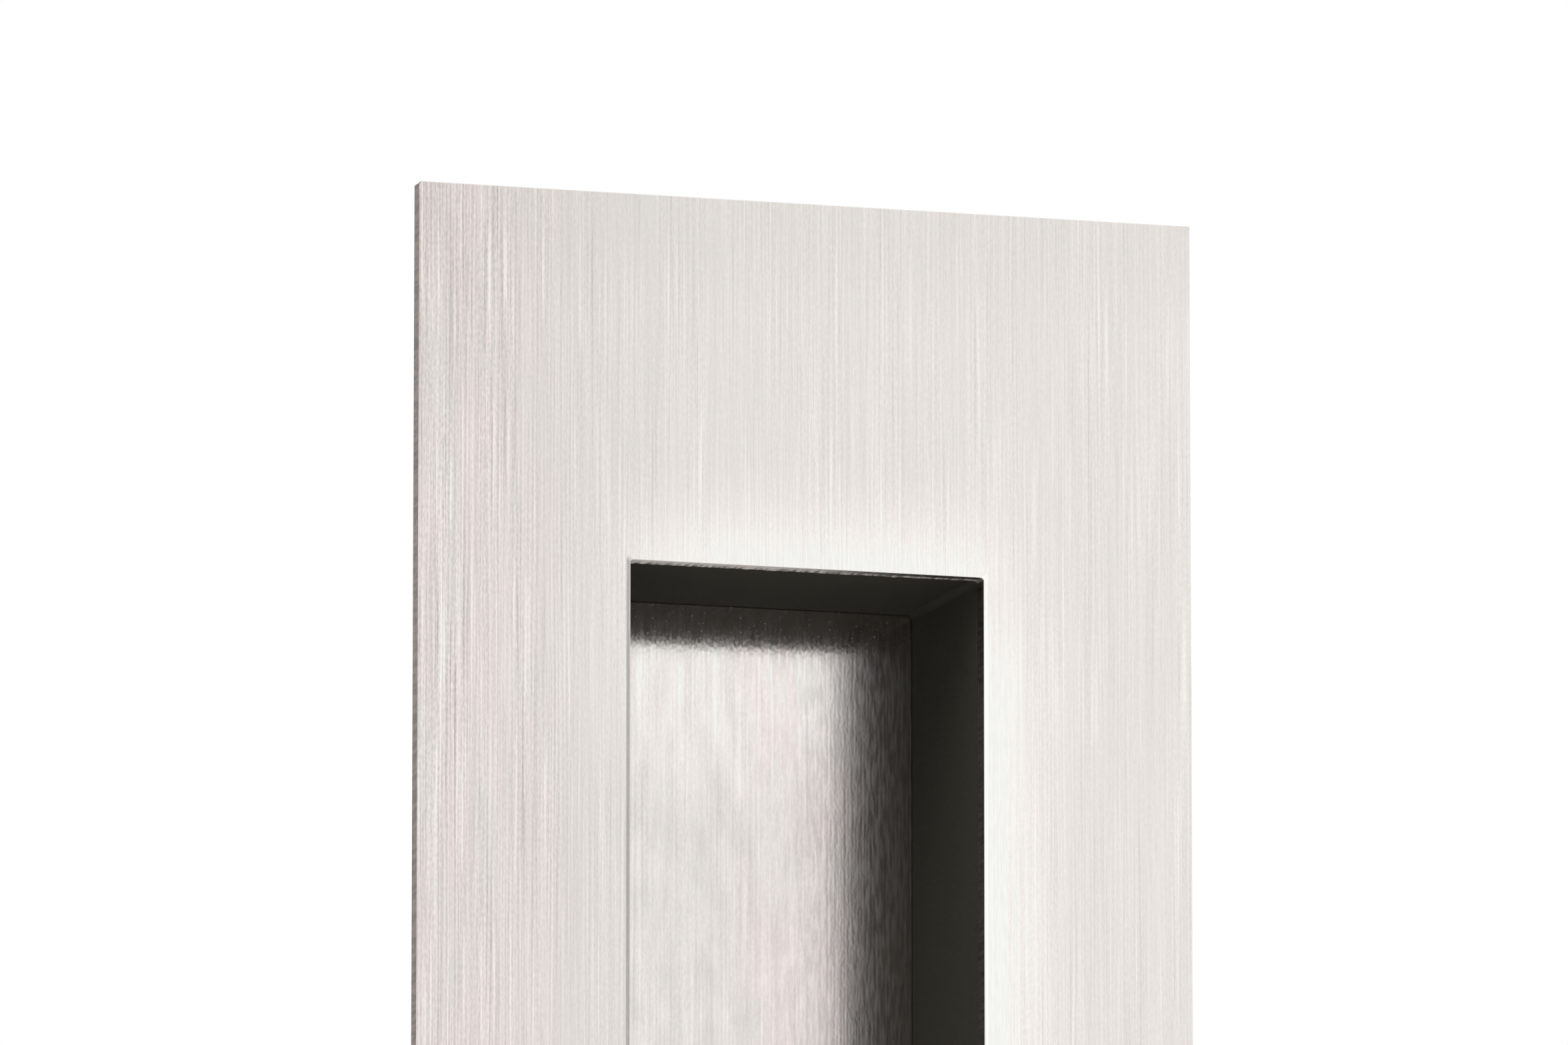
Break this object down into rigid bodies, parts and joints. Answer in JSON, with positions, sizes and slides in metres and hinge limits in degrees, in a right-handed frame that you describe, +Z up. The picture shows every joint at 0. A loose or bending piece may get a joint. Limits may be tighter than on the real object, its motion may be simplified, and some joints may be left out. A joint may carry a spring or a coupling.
{
  "type": "flush pull",
  "caption": "Rectangular flush pull: a thin satin stainless face plate with a deep rectangular finger recess, black side walls and a brushed panel at the bottom of the recess.",
  "frame": {"origin": "middle of the cut-out, in the plane of the door's face, where the back of the face plate lies", "axes": "+X across the pull, +Y from the room into the door, +Z up the pull's length"},
  "size_m": [0.05, 0.018, 0.2],
  "materials": {
    "face_plate_steel": "satin stainless sheet, brushed along its length, edges laser cut and lightly rounded",
    "housing_black": "moulded black nylon, fine matt texture",
    "back_panel_steel": "satin stainless sheet, brushed along its length"
  },
  "bodies": {
    "root": {"face_plate": "face_plate_steel", "recess_housing": "housing_black", "back_panel": "back_panel_steel"}
  },
  "joints": []
}
